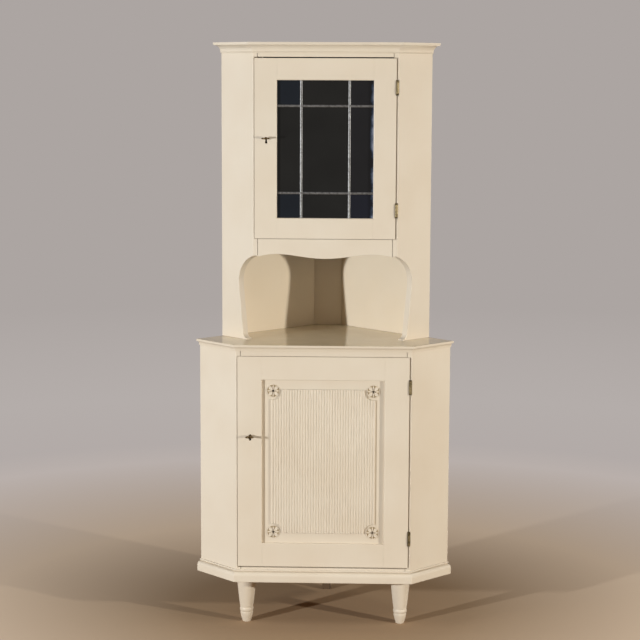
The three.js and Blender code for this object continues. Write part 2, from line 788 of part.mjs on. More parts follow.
function reededPanel(door, channel) {
  const { left, right, bottom, top } = door.opening;
  const face = door.front + panelSunk;
  const edge = channel.depth - panelPlay;
  const board = block(left - edge, right + edge, face, face + panelThickness, bottom - edge, top + edge);
  const fieldLeft = left + fieldSideMargin;
  const pitch = (right - fieldSideMargin - fieldLeft) / reedCount;
  const reedFoot = reedHeight * reedFootShare;
  const reeds = [at(fieldLeft, face + overrun)];
  for (let reed = 0; reed < reedCount; reed += 1) {
    const centre = at(fieldLeft + (pitch * (reed * 2 + 1)) / 2, face - reedFoot);
    reeds.push(...arc(centre, at(pitch / 2, reedFoot - reedHeight), 2, 0, 6).slice(reed === 0 ? 0 : 1));
  }
  reeds.push(at(right - fieldSideMargin, face + overrun));
  const field = upright(reeds, bottom + fieldEndMargin, top - fieldEndMargin);
  const corners = [left + rosetteInset, right - rosetteInset].flatMap((x) => (
    [bottom + rosetteInset, top - rosetteInset].map((z) => [x, z])
  ));
  const notchLength = (reedHeight + overrun) * 2;
  const notch = new THREE.CylinderGeometry(notchRadius, notchRadius, notchLength, 40);
  const notches = corners.map(([x, z]) => notch.clone().translate(x, face, z));
  const rosette = rosetteGeometry().rotateX(Math.PI / 2);
  const rosettes = corners.map(([x, z]) => rosette.clone().translate(x, face, z));
  return join(board, cut(field, ...notches), ...rosettes);
}

// Lift-off hinges: each knuckle is let half-way into the arrises of the door and of the return
function hingeAxis(door) {
  return at(door.plan.halfFront - hingeGap / 2, door.front - knuckleProud);
}

function knuckleSockets(door) {
  const radius = knuckleRadius + seat * 2;
  const height = hingeHeight + seat * 2;
  const axis = hingeAxis(door);
  return door.hinges.map((bottom) => new THREE.CylinderGeometry(radius, radius, height, 24)
    .rotateX(Math.PI / 2).translate(axis.x, axis.y, bottom + hingeHeight / 2));
}

function hingeLeaf(door, bottom, isDoorLeaf) {
  const axis = hingeAxis(door);
  const middle = bottom + hingeHeight / 2;
  const [from, to] = isDoorLeaf ? [middle + seat / 2, bottom + hingeHeight] : [bottom, middle - seat / 2];
  // Across the gap, measured from the axis towards the return
  const doorFace = (door.right + door.front - axis.x - axis.y) / diagonal;
  const returnFace = (door.plan.halfFront + door.front - axis.x - axis.y) / diagonal;
  const near = isDoorLeaf ? doorFace + seat : returnFace - seat - leafThickness;
  const clear = knuckleRadius + seat;
  const plate = block(near, near + leafThickness, clear, clear + leafWidth, bottom, bottom + hingeHeight);
  const strap = block(near, near + leafThickness, knuckleRadius / 2, clear + overrun, from, to);
  const turnedOut = (geometry) => geometry.rotateZ(Math.PI / 4).translate(axis.x, axis.y, 0);
  const knuckle = new THREE.CylinderGeometry(knuckleRadius, knuckleRadius, to - from, 20);
  knuckle.rotateX(Math.PI / 2).translate(axis.x, axis.y, (from + to) / 2);
  const leaf = join(knuckle, turnedOut(plate), turnedOut(strap));
  const pinTop = middle + hingeHeight * pinRiseShare;
  const pin = (radius, low, high) => new THREE.CylinderGeometry(radius, radius, high - low, 16)
    .rotateX(Math.PI / 2).translate(axis.x, axis.y, (low + high) / 2);
  return isDoorLeaf ? cut(leaf, pin(pinRadius + seat, from - overrun, pinTop + seat))
    : join(leaf, pin(pinRadius, to - overrun, pinTop));
}

function hinges(prefix, door, parent) {
  door.hinges.forEach((bottom, i) => {
    const word = i === 0 ? 'bottom' : 'top';
    piece(`${prefix}_${word}_hinge_fixed_leaf`, hingeLeaf(door, bottom, false), agedBronze());
    piece(`${prefix}_${word}_hinge_door_leaf`, hingeLeaf(door, bottom, true), agedBronze(), parent);
  });
}

// Rim lock on the back of the lock stile, its bolt thrown into the lock stile of the carcass
function lockOf(door, keyInset, keyHeight) {
  const backEdge = door.left + doorThickness;
  const caseLeft = backEdge + stopOverlap + lockClearance;
  const caseFront = door.back + seat;
  return {
    door,
    keyX: door.left + keyInset,
    keyZ: door.bottom + keyHeight,
    caseLeft,
    caseFront,
    boltFront: caseFront + (lockDepth - boltThickness) / 2,
    stileInner: backEdge + stopOverlap,
  };
}

function boltBlock(lock, play, from, to) {
  const z = lock.keyZ + boltLift;
  const back = lock.boltFront + boltThickness;
  return block(from, to, lock.boltFront - play, back + play, z - play, z + boltHeight + play);
}

function boltGeometry(lock) {
  const body = boltBlock(lock, 0, lock.caseLeft + seat, lock.caseLeft + boltLength);
  const middle = lock.keyX + boltThrow / 2;
  const floor = lock.keyZ + boltLift;
  const notch = block(middle - notchWidth / 2, middle + notchWidth / 2, lock.boltFront - overrun,
    lock.boltFront + boltThickness + overrun, floor - overrun, floor + notchDepth);
  return cut(body, notch);
}

function keyholeCutter(lock, front, back) {
  const outline = new THREE.Shape();
  const half = keyholeWaist / 2;
  const shoulder = Math.sqrt(keyholeRadius * keyholeRadius - half * half);
  const start = Math.atan2(-shoulder, half);
  outline.moveTo(half, -shoulder);
  outline.absarc(0, 0, keyholeRadius, start, Math.PI - start, false);
  outline.lineTo(-keyholeFoot / 2, -keyholeDrop);
  outline.lineTo(keyholeFoot / 2, -keyholeDrop);
  return frontal(outline, front, back, 10).translate(lock.keyX, 0, lock.keyZ);
}

function lockCase(lock) {
  const front = lock.caseFront;
  const shell = block(lock.caseLeft, lock.caseLeft + lockWidth, front, front + lockDepth,
    lock.keyZ - lockHeight / 2, lock.keyZ + lockHeight / 2);
  const channel = boltBlock(lock, boltPlay, lock.caseLeft - overrun, lock.caseLeft + boltLength + boltPlay);
  const sweep = new THREE.CylinderGeometry(keyBitReach + boltPlay * 2, keyBitReach + boltPlay * 2,
    lockDepth - lockPlate * 2, 40).translate(lock.keyX, front + lockDepth / 2, lock.keyZ);
  return cut(shell, channel, sweep, keyholeCutter(lock, front - overrun, front + lockPlate + overrun));
}

// Rest position: unlocked, the bit and the bow lying level
function keyGeometry(lock) {
  const tip = lock.caseFront + lockDepth - lockPlate - seat * 2;
  const end = lock.door.front - keyStandOff;
  const bowCentre = end + keyBowLength / 2;
  const neck = end + keyBowLength;
  const collar = keyCollarRadius - keyShankRadius;
  const shank = new THREE.LatheGeometry([
    at(0, neck - keyBowWire * 2), at(keyNeckRadius, neck - keyBowWire * 2), at(keyNeckRadius, neck),
    at(keyCollarRadius, neck + collar), at(keyCollarRadius, neck + collar * 2),
    at(keyShankRadius, neck + collar * 3), at(keyShankRadius, tip), at(0, tip),
  ], 20).translate(lock.keyX, 0, lock.keyZ);
  const bowReach = keyBowLength / 2 - keyBowWire;
  const bow = new THREE.TorusGeometry(1, keyBowWire / bowReach, 10, 28);
  bow.scale(keyBowWidth / 2 - keyBowWire, bowReach, bowReach);
  bow.translate(lock.keyX, bowCentre, lock.keyZ);
  const bit = block(lock.keyX, lock.keyX + keyBitReach, tip - keyBitWidth, tip - seat,
    lock.keyZ - keyBitThickness / 2, lock.keyZ + keyBitThickness / 2);
  return join(shank, bow, bit);
}

// The strip inside the left return that the door shuts on, mortised for the bolt
function lockStile(lock, bottom, top) {
  const { plan } = lock.door;
  const front = lock.door.back + doorStopGap;
  const back = front + lockStileDepth;
  const inner = -lock.stileInner;
  const outline = [
    at(inner, front),
    at(betweenReturns(plan, front), front),
    at(betweenReturns(plan, back), back),
    at(inner, back),
  ];
  const end = lock.stileInner;
  const mortise = boltBlock(lock, boltPlay * 2, end - boltThrow - overrun, end + overrun);
  return cut(upright(inset(mirrored(outline), seat / 2), bottom + seat, top - seat), mortise);
}

function doorOnCupboard(prefix, door, key, channel, arrisRadius, levels) {
  const lock = lockOf(door, key.inset, key.height);
  const leaf = new THREE.Group();
  cupboard.add(leaf);
  const keyhole = keyholeCutter(lock, door.front - overrun, door.back + overrun);
  doorFrame(prefix, door, channel, arrisRadius, keyhole, leaf);
  hinges(prefix, door, leaf);
  piece(`${prefix}_lock_case`, lockCase(lock), blackIron(), leaf);
  piece(`${prefix}_lock_bolt`, boltGeometry(lock), blackIron(), leaf);
  piece(`${prefix}_key`, keyGeometry(lock), agedBronze(), leaf);
  piece(`${prefix}_lock_stile`, lockStile(lock, levels.bottom, levels.top), creamPaint());
  return leaf;
}

const panelChannel = {
  front: lowerDoor.front + panelSunk - seat,
  back: lowerDoor.front + panelSunk + panelThickness + seat,
  depth: grooveDepth,
};
const glassChannel = {
  front: upperDoor.front + glassLip,
  back: upperDoor.back + overrun,
  depth: rebateDepth,
};

lowerCarcass();
legs();
upperCarcass();
const lowerKey = { inset: lowerKeyInset, height: lowerKeyHeight };
const lowerSpace = { bottom: lowerFloor, top: counterUnderside };
const lowerLeaf = doorOnCupboard('lower', lowerDoor, lowerKey, panelChannel, panelArris, lowerSpace);
piece('reeded_panel', reededPanel(lowerDoor, panelChannel), creamPaint(), lowerLeaf);
const upperKey = { inset: upperKeyInset, height: upperKeyHeight };
const upperSpace = { bottom: upperFloor, top: upperTop - shelfThickness };
const upperLeaf = doorOnCupboard('upper', upperDoor, upperKey, glassChannel, glassArris, upperSpace);
leadedLight(upperDoor, glassChannel, upperLeaf);

// The origin lies on the floor under the middle of the whole cupboard, its keys included
const frontmost = Math.min(lowerDoor.front - keyStandOff, -countertopOverhang);
cupboard.position.y = -(frontmost + rearPlane) / 2;

const group = new THREE.Group();
group.add(cupboard);
export default group;
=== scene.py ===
"""A painted corner cupboard: a leaded glass door over an open niche, and a reeded door below."""
import math

import bpy
from mathutils import Matrix, Vector


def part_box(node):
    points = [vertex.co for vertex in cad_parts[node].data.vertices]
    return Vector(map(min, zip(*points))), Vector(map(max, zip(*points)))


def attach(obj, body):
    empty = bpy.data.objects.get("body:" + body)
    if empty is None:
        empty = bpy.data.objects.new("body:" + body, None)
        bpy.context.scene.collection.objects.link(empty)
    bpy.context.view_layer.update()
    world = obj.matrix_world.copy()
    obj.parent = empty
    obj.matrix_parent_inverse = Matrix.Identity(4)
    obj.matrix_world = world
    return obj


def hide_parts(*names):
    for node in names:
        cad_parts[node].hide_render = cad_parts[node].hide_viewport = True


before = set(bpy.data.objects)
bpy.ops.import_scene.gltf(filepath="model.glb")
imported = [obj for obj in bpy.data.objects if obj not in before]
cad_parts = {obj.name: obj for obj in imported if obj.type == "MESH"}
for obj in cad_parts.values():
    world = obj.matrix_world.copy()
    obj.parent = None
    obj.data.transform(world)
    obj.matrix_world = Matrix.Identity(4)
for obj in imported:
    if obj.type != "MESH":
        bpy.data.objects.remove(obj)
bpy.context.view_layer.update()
bpy.ops.object.select_all(action="DESELECT")

MM = 0.001
UPPER_FRONT = -138 * MM
LOWER_FRONT = -223.5 * MM
SMOOTH_ANGLE = 32
SHARP_ANGLE = 35


# Finishes

PAINT_GLOSS = 0.4
TOP_GLOSS = 0.09
INSIDE_GLOSS = 0.55
WOOD_GLOSS = 0.72
METAL_GLOSS = 0.42
IRON_GLOSS = 0.5
GLASS_GLOSS = 0.06
GLASS_SHINE = 0.25
PAPER_GLOSS = 0.9
STROKE_DEPTH = 0.12 * MM
REED_STROKE_DEPTH = 0.03 * MM
SPECKLE_DEPTH = 0.05 * MM
GRAIN_DEPTH = 0.3 * MM
DENT_DEPTH = 0.12 * MM
RIPPLE_DEPTH = 2 * MM


class Finish:
    """A material, and the nodes that its colour, roughness and bumps are made of."""

    def __init__(self, name, roughness, metallic=0.0):
        self.material = bpy.data.materials.new(name)
        self.material.use_nodes = True
        self.nodes = self.material.node_tree.nodes
        self.links = self.material.node_tree.links
        self.shader = self.nodes["Principled BSDF"]
        self.shader.inputs["Roughness"].default_value = roughness
        self.shader.inputs["Metallic"].default_value = metallic
        self.place = self.nodes.new("ShaderNodeTexCoord").outputs["Object"]

    def stretched(self, x, y, z):
        """The piece's own coordinates, closer together along the directions with the larger numbers."""
        mapping = self.nodes.new("ShaderNodeMapping")
        mapping.inputs["Scale"].default_value = (x, y, z)
        self.links.new(self.place, mapping.inputs["Vector"])
        return mapping.outputs["Vector"]

    def noise(self, scale, detail=3.0, place=None, roughness=0.5, distortion=0.0):
        noise = self.nodes.new("ShaderNodeTexNoise")
        noise.inputs["Scale"].default_value = scale
        noise.inputs["Detail"].default_value = detail
        noise.inputs["Roughness"].default_value = roughness
        noise.inputs["Distortion"].default_value = distortion
        self.links.new(place or self.place, noise.inputs["Vector"])
        return noise.outputs["Fac"]

    def ramp(self, value, *stops):
        """Turns a value into a colour, or a grey, through stops of (value, colour)."""
        ramp = self.nodes.new("ShaderNodeValToRGB")
        elements = ramp.color_ramp.elements
        while len(elements) < len(stops):
            elements.new(0.5)
        for element, (position, colour) in zip(elements, stops):
            element.position = position
            element.color = (*colour, 1) if hasattr(colour, "__len__") else (colour, colour, colour, 1)
        self.links.new(value, ramp.inputs["Fac"])
        return ramp.outputs["Color"]

    def along(self, axis):
        """How far a point lies along an axis of the piece."""
        split = self.nodes.new("ShaderNodeSeparateXYZ")
        self.links.new(self.place, split.inputs["Vector"])
        return split.outputs[axis]

    def worked_out(self, operation, first, second=0.0):
        maths = self.nodes.new("ShaderNodeMath")
        maths.operation = operation
        self.put(first, maths.inputs[0])
        self.put(second, maths.inputs[1])
        return maths.outputs["Value"]

    def between(self, value, start, end):
        """How far a value has come from start to end, as a share from 0 to 1."""
        span = self.nodes.new("ShaderNodeMapRange")
        span.inputs["From Min"].default_value = start
        span.inputs["From Max"].default_value = end
        self.links.new(value, span.inputs["Value"])
        return span.outputs["Result"]

    def mixed(self, share, first, second):
        mix = self.nodes.new("ShaderNodeMix")
        mix.data_type = "RGBA"
        self.put(share, mix.inputs["Factor"])
        self.put(first, mix.inputs[6])
        self.put(second, mix.inputs[7])
        return mix.outputs[2]

    def put(self, value, socket):
        if isinstance(value, bpy.types.NodeSocket):
            self.links.new(value, socket)
        elif hasattr(value, "__len__"):
            socket.default_value = (*value, 1)
        else:
            socket.default_value = value

    def colour(self, value):
        self.put(value, self.shader.inputs["Base Color"])
        return self

    def roughness(self, value):
        self.put(value, self.shader.inputs["Roughness"])
        return self

    def bump(self, height, distance, strength=1.0):
        bump = self.nodes.new("ShaderNodeBump")
        bump.inputs["Strength"].default_value = strength
        bump.inputs["Distance"].default_value = distance
        self.links.new(height, bump.inputs["Height"])
        previous = self.shader.inputs["Normal"]
        if previous.is_linked:
            self.links.new(previous.links[0].from_socket, bump.inputs["Normal"])
        self.links.new(bump.outputs["Normal"], previous)
        return self


def srgb(red, green, blue):
    """A colour written as its three screen values, from 0 to 255."""
    values = (red, green, blue)
    return tuple(((v / 255 + 0.055) / 1.055) ** 2.4 if v > 10 else v / 255 / 12.92 for v in values)


def brushed_paint(name, light, dark, gloss, along="Z", ridges=STROKE_DEPTH):
    """Oil paint laid on with a brush: faint streaks along the board, and slow changes of tone."""
    finish = Finish(name, gloss)
    stretch = {"Z": (260, 260, 9), "X": (9, 260, 260)}[along]
    strokes = finish.noise(1.0, 4.0, finish.stretched(*stretch))
    clouds = finish.noise(5.0, 3.0)
    tone = finish.ramp(clouds, (0.32, dark), (0.66, light))
    finish.colour(finish.mixed(finish.ramp(strokes, (0.35, 0.0), (0.75, 0.22)), tone, dark))
    finish.roughness(finish.ramp(finish.noise(14.0, 4.0), (0.3, gloss - 0.06), (0.7, gloss + 0.08)))
    finish.bump(strokes, ridges)
    finish.bump(finish.noise(420.0, 2.0), SPECKLE_DEPTH)
    return finish


def changed(finish, share, colour, gloss=None):
    """Carries a finish over to another colour, and another gloss, by a share that varies over the piece."""
    base = finish.shader.inputs["Base Color"]
    finish.colour(finish.mixed(share, base.links[0].from_socket, colour))
    if gloss is not None:
        sheen = finish.shader.inputs["Roughness"]
        finish.roughness(finish.mixed(share, sheen.links[0].from_socket, (gloss, gloss, gloss)))
    return finish


def grain_and_rings(finish, light, dark, along="Z"):
    """The grain of softwood, running up or across the board, and the light and dark rings in it."""
    stretch = {"Z": (55, 55, 1.6), "X": (1.6, 55, 55)}[along]
    grain = finish.noise(1.0, 6.0, finish.stretched(*stretch), 0.62, 0.4)
    return grain, finish.ramp(grain, (0.34, dark), (0.5, light), (0.58, dark), (0.72, light))


def pine(name, light, dark, along="Z"):
    """Bare softwood, darkened with age."""
    finish = Finish(name, WOOD_GLOSS)
    grain, rings = grain_and_rings(finish, light, dark, along)
    stain = finish.noise(3.0, 4.0)
    finish.colour(finish.mixed(finish.ramp(stain, (0.35, 0.45), (0.7, 0.05)), rings, dark))
    finish.bump(grain, GRAIN_DEPTH)
    return finish


CREAM = srgb(224, 213, 196)
CREAM_SHADE = srgb(220, 207, 188)
BLUE = srgb(52, 62, 88)
PINE = srgb(186, 156, 114)
PINE_SHADE = srgb(158, 126, 86)
COUNTER_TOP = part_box("countertop")[1][2]
# How far under the countertop's face its lighter colour, which is painted light, starts to give way to the
# cream, and ends
PAINTED_LIGHT_EDGE = (0.1 * MM, 0.9 * MM)
PANEL_FACE = LOWER_FRONT + 10.2 * MM
FIELD_FACE = PANEL_FACE - 2.5 * MM
ROSETTE_FACE = PANEL_FACE - 1.2 * MM
cream_paint = brushed_paint("cream_paint", CREAM, CREAM_SHADE, PAINT_GLOSS).material
# Painted light: the countertop's face is painted lighter and yellower than the cream, for the light that
# falls on it from above
painted_light_top_finish = brushed_paint("top_paint", srgb(234, 219, 190), srgb(231, 215, 184), TOP_GLOSS, "X")
below_top = painted_light_top_finish.between(painted_light_top_finish.along("Z"), *(COUNTER_TOP - depth for depth in PAINTED_LIGHT_EDGE))
top_paint = changed(painted_light_top_finish, below_top, CREAM_SHADE, PAINT_GLOSS).material
inside_paint = brushed_paint("inside_paint", BLUE, srgb(40, 48, 72), INSIDE_GLOSS).material
carved_finish = brushed_paint("rosette_paint", CREAM, CREAM_SHADE, PAINT_GLOSS)
# Dirt and painted shade: the ground between the leaves is painted darker, and the drilled eye much darker
dirt_and_shade_in_hollows = carved_finish.between(carved_finish.along("Y"), ROSETTE_FACE, ROSETTE_FACE + 0.8 * MM)
changed(carved_finish, dirt_and_shade_in_hollows, srgb(172, 153, 122))
dirt_and_shade_in_eyes = carved_finish.between(carved_finish.along("Y"), ROSETTE_FACE + MM, ROSETTE_FACE + 2 * MM)
rosette_paint = changed(carved_finish, dirt_and_shade_in_eyes, srgb(84, 66, 44)).material
reed_finish = brushed_paint("reed_paint", CREAM, CREAM_SHADE, PAINT_GLOSS, ridges=REED_STROKE_DEPTH)
# Painted shade: the reeds darken towards the valleys between them, and the sides of the raised field are
# painted dark too
valley_shade = reed_finish.between(reed_finish.along("Y"), FIELD_FACE - 1.1 * MM, FIELD_FACE - 0.1 * MM)
reed_paint = changed(reed_finish, valley_shade, srgb(176, 158, 128)).material
raw_pine = pine("raw_pine", PINE, PINE_SHADE).material
level_pine = pine("level_pine", PINE, PINE_SHADE, "X").material
# Painted shade: the rear leg's pine is much darker than the other bare pine, so that it sinks into the shade
# under the cupboard
pine_with_painted_shade = pine("pine_with_painted_shade", srgb(98, 76, 52), srgb(72, 54, 36)).material


def niche_boards():
    """Back boards: cream in the niche, painted lighter than the cream outside as painted light, blue behind
    the glass above it, and bare wood on the wall side.
    """
    # Painted light: this cream is lighter than the cream elsewhere, to brighten the light in the niche
    finish = brushed_paint("niche_paint", srgb(234, 220, 198), srgb(231, 216, 192), PAINT_GLOSS)
    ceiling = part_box("upper_bottom_board")[0][2]
    changed(finish, finish.between(finish.along("Z"), ceiling, ceiling + MM), BLUE)
    corner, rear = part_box("upper_back_right")[1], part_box("upper_rear_board")[1][1]
    wall = corner[0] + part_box("upper_back_right")[0][1]
    skin = 2 * MM
    across = finish.worked_out("ADD", finish.worked_out("ABSOLUTE", finish.along("X")), finish.along("Y"))
    outside = finish.worked_out(
        "MAXIMUM", finish.between(across, wall - skin, wall - skin / 2),
        finish.between(finish.along("Y"), rear - skin, rear - skin / 2))
    return changed(finish, outside, grain_and_rings(finish, PINE, PINE_SHADE)[1], WOOD_GLOSS).material


niche_paint = niche_boards()


def worn_metal(name, light, dark, gloss, metallic, scale):
    """Old metal, with dark spots and small dents."""
    finish = Finish(name, gloss, metallic)
    spots = finish.noise(scale, 5.0, roughness=0.65)
    finish.colour(finish.ramp(spots, (0.36, dark), (0.56, light)))
    finish.roughness(finish.ramp(finish.noise(scale * 2, 3.0), (0.3, gloss - 0.08), (0.7, gloss + 0.12)))
    finish.bump(finish.noise(scale * 4, 3.0), DENT_DEPTH)
    return finish.material


def old_glass(name, tint, edge=None):
    """Window glass that lets no light through: its dark colour paints on the shade of the dark inside behind
    it; not quite flat, and with a painted bluish light between the two places of an edge.
    """
    finish = Finish(name, GLASS_GLOSS)
    finish.shader.inputs["Specular IOR Level"].default_value = GLASS_SHINE
    lighter = tuple(v * 1.25 for v in tint)
    finish.colour(finish.ramp(finish.noise(9.0, 2.0), (0.3, tint), (0.7, lighter)))
    if edge:
        # Painted light: a patchy strip of bluish light is painted along the pane, brighter towards the edge
        patches = finish.ramp(finish.noise(24.0, 3.0), (0.35, 0.35), (0.62, 1.0))
        painted_light_share = finish.worked_out("MULTIPLY", finish.between(finish.along("X"), *edge), patches)
        painted_bluish_light = finish.ramp(painted_light_share, (0.2, (0, 0, 0)), (0.45, srgb(56, 68, 86)), (0.85, srgb(146, 154, 174)))
        changed(finish, finish.ramp(painted_light_share, (0.2, 0.0), (0.36, 1.0)), painted_bluish_light)
    finish.bump(finish.noise(11.0, 2.0), RIPPLE_DEPTH, 0.35)
    return finish.material


aged_bronze = worn_metal("aged_bronze", srgb(136, 122, 92), srgb(64, 53, 36), METAL_GLOSS, 1.0, 130.0)
dark_bronze = worn_metal("dark_bronze", srgb(110, 92, 64), srgb(50, 39, 27), METAL_GLOSS, 1.0, 160.0)
black_iron = worn_metal("black_iron", srgb(74, 61, 48), srgb(40, 32, 25), IRON_GLOSS, 0.9, 120.0)
lead = worn_metal("lead", srgb(128, 128, 128), srgb(92, 92, 91), METAL_GLOSS, 0.84, 160.0)
# Where across the door the right-hand panes carry their painted bluish light
PAINTED_LIGHT_SPAN = (138 * MM, 155 * MM)
# Painted shade: the panes' dark colours stand for the shaded inside seen through them, the blue ones tinted
# by their glass
dark_glass = old_glass("dark_glass", srgb(26, 26, 25))
blue_glass = old_glass("blue_glass", srgb(21, 26, 33))
dark_edge_glass = old_glass("dark_edge_glass", srgb(26, 26, 28), PAINTED_LIGHT_SPAN)
blue_edge_glass = old_glass("blue_edge_glass", srgb(23, 25, 34), PAINTED_LIGHT_SPAN)


# Lamps, floor and camera

GREY = srgb(172, 165, 162)
FILL = srgb(212, 184, 148)
FILL_STRENGTH = 0.138
FLOOR_RADIUS = 30
FLOOR_FADE = 8.0
CAMERA_PLACE = (0.167979, -5.803672, 1.78957)
CAMERA_YAW = -0.032291
CAMERA_PITCH = 0.13705
CAMERA_ROLL = -0.004059
CAMERA_LENS = 99.0
SENSOR_WIDTH = 36
CLIP_END = 50

# Each lamp: its place, what it is aimed at, its width in metres, its power in watts and its colour
LAMPS = {
    "left_lamp": ((-3.83, -3.61, 1.294), (-0.1, 0.0, 0.95), 0.15, 205, (0.98, 1.0, 1.0)),
    "right_lamp": ((3.653, -2.203, 1.256), (0.1, 0.0, 0.95), 0.15, 107, (1.0, 0.955, 0.86)),
    "left_ceiling_lamp": ((-2.6, -1.5, 3.0), (-0.2, 0.0, 0.9), 1.4, 13, (1.0, 0.98, 0.95)),
    "right_ceiling_lamp": ((2.6, -1.5, 3.0), (0.2, 0.0, 0.9), 1.4, 13, (1.0, 0.98, 0.95)),
    "left_wash": ((-3.0, -0.4, 1.6), (0, 0.3, 0.9), 1.2, 5, (0.98, 0.98, 1.0)),
    "right_wash": ((3.0, -0.4, 1.6), (0, 0.3, 0.9), 1.2, 8, (1.0, 0.98, 0.97)),
}


def lamp(name, place, target, width, power, colour):
    light = bpy.data.lights.new(name, "AREA")
    light.shape = "DISK"
    light.size = width
    light.energy = power
    light.color = colour
    holder = bpy.data.objects.new(name, light)
    bpy.context.scene.collection.objects.link(holder)
    holder.location = place
    holder.rotation_euler = (Vector(target) - Vector(place)).to_track_quat("-Z", "Y").to_euler()


def studio():
    for name, settings in LAMPS.items():
        lamp(name, *settings)
    backdrop()


def seen(nodes, links):
    """1 for what is seen straight, in a shine or through glass, and 0 for the light that falls on things."""
    path = nodes.new("ShaderNodeLightPath")
    total = path.outputs["Is Camera Ray"]
    for ray in ("Is Glossy Ray", "Is Transmission Ray"):
        larger = nodes.new("ShaderNodeMath")
        larger.operation = "MAXIMUM"
        links.new(total, larger.inputs[0])
        links.new(path.outputs[ray], larger.inputs[1])
        total = larger.outputs["Value"]
    return total


def backdrop():
    """A round pale floor that runs out into a plain grey all round."""
    world = bpy.data.worlds.new("studio")
    world.use_nodes = True
    nodes, links = world.node_tree.nodes, world.node_tree.links
    fill = nodes["Background"]
    fill.inputs["Color"].default_value = (*FILL, 1)
    fill.inputs["Strength"].default_value = FILL_STRENGTH
    plain = nodes.new("ShaderNodeBackground")
    plain.inputs["Color"].default_value = (*GREY, 1)
    either = nodes.new("ShaderNodeMixShader")
    links.new(seen(nodes, links), either.inputs[0])
    links.new(fill.outputs[0], either.inputs[1])
    links.new(plain.outputs[0], either.inputs[2])
    links.new(either.outputs[0], nodes["World Output"].inputs["Surface"])
    bpy.context.scene.world = world

    bpy.ops.mesh.primitive_circle_add(vertices=96, radius=FLOOR_RADIUS, fill_type="NGON")
    floor = bpy.context.object
    floor.name = "floor"
    paper = Finish("backdrop_paper", PAPER_GLOSS)
    paper.shader.inputs["Specular IOR Level"].default_value = 0
    away = paper.nodes.new("ShaderNodeVectorMath")
    away.operation = "LENGTH"
    paper.links.new(paper.place, away.inputs[0])
    reach = paper.between(away.outputs["Value"], 0.0, FLOOR_FADE)
    lit = paper.ramp(
        reach, (0.04, srgb(174, 148, 120)), (0.15, srgb(188, 170, 150)), (0.35, (0, 0, 0)))
    own_light = paper.ramp(
        reach, (0.06, (0, 0, 0)), (0.15, srgb(122, 110, 98)), (0.3, srgb(178, 170, 167)),
        (0.5, srgb(180, 173, 170)), (1.0, GREY))
    paper.colour(lit)
    paper.put(own_light, paper.shader.inputs["Emission Color"])
    paper.put(seen(paper.nodes, paper.links), paper.shader.inputs["Emission Strength"])
    floor.data.materials.append(paper.material)


def photographer():
    """The camera stands to the right of the middle, high up and well back, with a long lens."""
    camera = bpy.data.cameras.new("camera")
    camera.sensor_width = SENSOR_WIDTH
    camera.lens = CAMERA_LENS
    camera.clip_end = CLIP_END
    holder = bpy.data.objects.new("camera", camera)
    bpy.context.scene.collection.objects.link(holder)
    aim = Matrix.Rotation(-CAMERA_YAW, 4, "Z") @ Matrix.Rotation(math.pi / 2 - CAMERA_PITCH, 4, "X")
    lean = Matrix.Rotation(-CAMERA_ROLL, 4, "Z")
    holder.matrix_world = Matrix.Translation(CAMERA_PLACE) @ aim @ lean
    bpy.context.scene.camera = holder
    bpy.context.scene.view_settings.view_transform = "Standard"


# Working on a piece

WELD = 0.01 * MM
LATHE_WELD = 0.001 * MM
FLAT_ANGLE = 1


def only(piece):
    bpy.ops.object.select_all(action="DESELECT")
    piece.select_set(True)
    bpy.context.view_layer.objects.active = piece


def select_faces(piece, wanted):
    """Selects the faces that wanted(centre, normal) picks, and leaves the piece in edit mode."""
    bpy.ops.object.mode_set(mode="EDIT")
    bpy.ops.mesh.select_all(action="DESELECT")
    bpy.ops.mesh.select_mode(type="FACE")
    bpy.ops.object.mode_set(mode="OBJECT")
    for face in piece.data.polygons:
        face.select = wanted(face.center, face.normal)
    bpy.ops.object.mode_set(mode="EDIT")


def worked(piece, kind, **settings):
    """Adds a modifier to the piece and applies it."""
    only(piece)
    modifier = piece.modifiers.new("work", kind)
    for name, value in settings.items():
        setattr(modifier, name, value)
    bpy.ops.object.modifier_apply(modifier=modifier.name)


def rounded(piece, width, segments=2, angle=SHARP_ANGLE):
    worked(piece, "BEVEL", width=width, segments=segments, limit_method="ANGLE",
           angle_limit=math.radians(angle), use_clamp_overlap=True)


def finished(piece, name, body, slot, finish, *nodes, angle=SMOOTH_ANGLE):
    """Names a piece, shades it, and sets it on its body in place of the nodes that it stands for."""
    piece.name = name
    piece.data.name = name
    only(piece)
    bpy.ops.object.transform_apply(location=True, rotation=True, scale=True)
    bpy.ops.object.shade_smooth_by_angle(angle=math.radians(angle))
    worked(piece, "WEIGHTED_NORMAL", keep_sharp=True)
    piece.data.materials.clear()
    piece.data.materials.append(finish)
    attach(piece, body)
    if nodes:
        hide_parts(*nodes)
    return piece


def joined(pieces):
    bpy.ops.object.select_all(action="DESELECT")
    for piece in pieces:
        piece.select_set(True)
    bpy.context.view_layer.objects.active = pieces[0]
    bpy.ops.object.join()
    return pieces[0]


